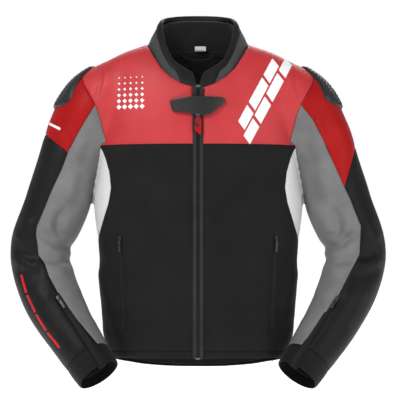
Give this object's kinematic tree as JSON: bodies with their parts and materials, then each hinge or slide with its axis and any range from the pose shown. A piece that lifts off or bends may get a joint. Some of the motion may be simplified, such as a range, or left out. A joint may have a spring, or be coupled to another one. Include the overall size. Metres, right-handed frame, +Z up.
{
  "type": "leather riding jacket",
  "caption": "Short motorcycle jacket of leather and stretch panels, stand-up collar, full front zip, shoulder armour, zipped pockets and cuffs, sleeves bent forward as worn.",
  "frame": {"origin": "centre of the neck opening at the height where the shoulder lines meet the collar", "axes": "+Z up towards the collar, front towards -Y, wearer's left towards +X"},
  "size_m": [0.7834, 0.2657, 0.7778],
  "materials": {
    "red_perforated_leather": "matte with fine perforations",
    "red_leather": "semi-gloss grain",
    "black_softshell": "matte",
    "white_mesh": "matte diagonal mesh",
    "lining_mesh": "matte mesh",
    "collar_leather": "matte grain",
    "black_neoprene": "matte",
    "label_white": "woven",
    "zip_tape": "woven tape",
    "zip_chain": "satin",
    "zip_metal": "satin",
    "armour_tpu": "ridged, satin",
    "protector_foam": "matte foam",
    "grey_leather": "fine grain",
    "black_leather": "semi-gloss grain",
    "stretch_fabric": "ribbed"
  },
  "bodies": {
    "torso": {"chest_yoke_left": "red_perforated_leather", "chest_yoke_right": "red_perforated_leather", "back_yoke": "red_perforated_leather", "sleeve_head_left": "red_leather", "sleeve_head_right": "red_leather", "front_panel_left": "black_softshell", "front_panel_right": "black_softshell", "back_panel": "black_softshell", "hem_band": "black_softshell", "side_panel_left": "white_mesh", "side_panel_right": "white_mesh", "torso_lining": "lining_mesh", "pocket_bag_left": "lining_mesh", "pocket_bag_right": "lining_mesh", "hanger_loop": "lining_mesh", "collar_band": "collar_leather", "collar_edge": "black_neoprene", "neck_label": "label_white", "front_zip_tape_left": "zip_tape", "front_zip_tape_right": "zip_tape", "pocket_zip_left": "zip_tape", "pocket_zip_right": "zip_tape", "waist_zip": "zip_tape", "front_zip_teeth": "zip_chain", "zip_bottom_box": "zip_metal", "badge_snap": "zip_metal", "shoulder_slider_left": "armour_tpu", "shoulder_slider_right": "armour_tpu", "back_protector": "protector_foam", "shoulder_protector_left": "protector_foam", "shoulder_protector_right": "protector_foam"},
    "front_slider": {"front_zip_slider": "zip_metal"},
    "front_pull": {"front_zip_pull": "zip_metal", "pull_strap": "red_leather", "pull_rivet": "zip_metal"},
    "badge": {"badge_tab": "armour_tpu"},
    "arm_left": {"upper_sleeve_front_left": "grey_leather", "upper_sleeve_outer_left": "black_leather", "elbow_stretch_left": "stretch_fabric"},
    "forearm_left": {"forearm_front_left": "grey_leather", "forearm_outer_left": "black_leather", "elbow_protector_left": "protector_foam", "cuff_left": "black_neoprene", "cuff_zip_left": "zip_tape"},
    "pocket_slider_left": {"pocket_slider_left": "zip_metal"},
    "pocket_pull_left": {"pocket_pull_left": "zip_metal"},
    "cuff_slider_left": {"cuff_slider_left": "zip_metal"},
    "cuff_pull_left": {"cuff_pull_left": "zip_metal"},
    "arm_right": {"upper_sleeve_front_right": "grey_leather", "upper_sleeve_outer_right": "black_leather", "elbow_stretch_right": "stretch_fabric"},
    "forearm_right": {"forearm_front_right": "grey_leather", "forearm_outer_right": "black_leather", "elbow_protector_right": "protector_foam", "cuff_right": "black_neoprene", "cuff_zip_right": "zip_tape"},
    "pocket_slider_right": {"pocket_slider_right": "zip_metal"},
    "pocket_pull_right": {"pocket_pull_right": "zip_metal"},
    "cuff_slider_right": {"cuff_slider_right": "zip_metal"},
    "cuff_pull_right": {"cuff_pull_right": "zip_metal"}
  },
  "joints": [
    {"name": "front_zip", "type": "slide", "parent": "torso", "child": "front_slider", "axis": [0, 0, -1], "range_m": [0, 0.47]},
    {"name": "front_zip_pull_hinge", "type": "hinge", "parent": "front_slider", "child": "front_pull", "pos_m": [0, -0.1186, -0.1585], "axis": [-1, 0, 0], "range_deg": [0, 75]},
    {"name": "badge_flap", "type": "hinge", "parent": "torso", "child": "badge", "pos_m": [0.0565, -0.1175, -0.135], "axis": [0, 0, 1], "range_deg": [0, 110]},
    {"name": "shoulder_left", "type": "hinge", "parent": "torso", "child": "arm_left", "pos_m": [0.248, 0.005, -0.191], "axis": [-0.7563, 0, 0.6542], "range_deg": [0, 45]},
    {"name": "elbow_left", "type": "hinge", "parent": "arm_left", "child": "forearm_left", "pos_m": [0.331, 0.002, -0.438], "axis": [-1, 0, 0], "range_deg": [0, 60], "deforming": ["elbow_stretch_left"]},
    {"name": "pocket_zip_left", "type": "slide", "parent": "torso", "child": "pocket_slider_left", "axis": [-0.0569, -0.0168, -0.9982], "range_m": [0, 0.165]},
    {"name": "pocket_pull_left_hinge", "type": "hinge", "parent": "pocket_slider_left", "child": "pocket_pull_left", "pos_m": [0.16034, -0.08813, -0.41097], "axis": [-0.8516, -0.521, 0.0573], "range_deg": [0, 70]},
    {"name": "cuff_zip_left", "type": "slide", "parent": "forearm_left", "child": "cuff_slider_left", "axis": [-0.5546, -0.3225, -0.7671], "range_m": [0, 0.12]},
    {"name": "cuff_pull_left_hinge", "type": "hinge", "parent": "cuff_slider_left", "child": "cuff_pull_left", "pos_m": [0.27606, -0.10126, -0.5262], "axis": [-0.8312, 0.2576, 0.4927], "range_deg": [0, 70]},
    {"name": "shoulder_right", "type": "hinge", "parent": "torso", "child": "arm_right", "pos_m": [-0.248, 0.005, -0.191], "axis": [-0.7563, 0, -0.6542], "range_deg": [0, 45]},
    {"name": "elbow_right", "type": "hinge", "parent": "arm_right", "child": "forearm_right", "pos_m": [-0.331, 0.002, -0.438], "axis": [-1, 0, 0], "range_deg": [0, 60], "deforming": ["elbow_stretch_right"]},
    {"name": "pocket_zip_right", "type": "slide", "parent": "torso", "child": "pocket_slider_right", "axis": [0.0569, -0.0168, -0.9982], "range_m": [0, 0.165]},
    {"name": "pocket_pull_right_hinge", "type": "hinge", "parent": "pocket_slider_right", "child": "pocket_pull_right", "pos_m": [-0.16034, -0.08813, -0.41097], "axis": [-0.8516, 0.521, -0.0573], "range_deg": [0, 70]},
    {"name": "cuff_zip_right", "type": "slide", "parent": "forearm_right", "child": "cuff_slider_right", "axis": [0.5546, -0.3225, -0.7671], "range_m": [0, 0.12]},
    {"name": "cuff_pull_right_hinge", "type": "hinge", "parent": "cuff_slider_right", "child": "cuff_pull_right", "pos_m": [-0.27606, -0.10126, -0.5262], "axis": [-0.8312, -0.2576, -0.4927], "range_deg": [0, 70]}
  ]
}
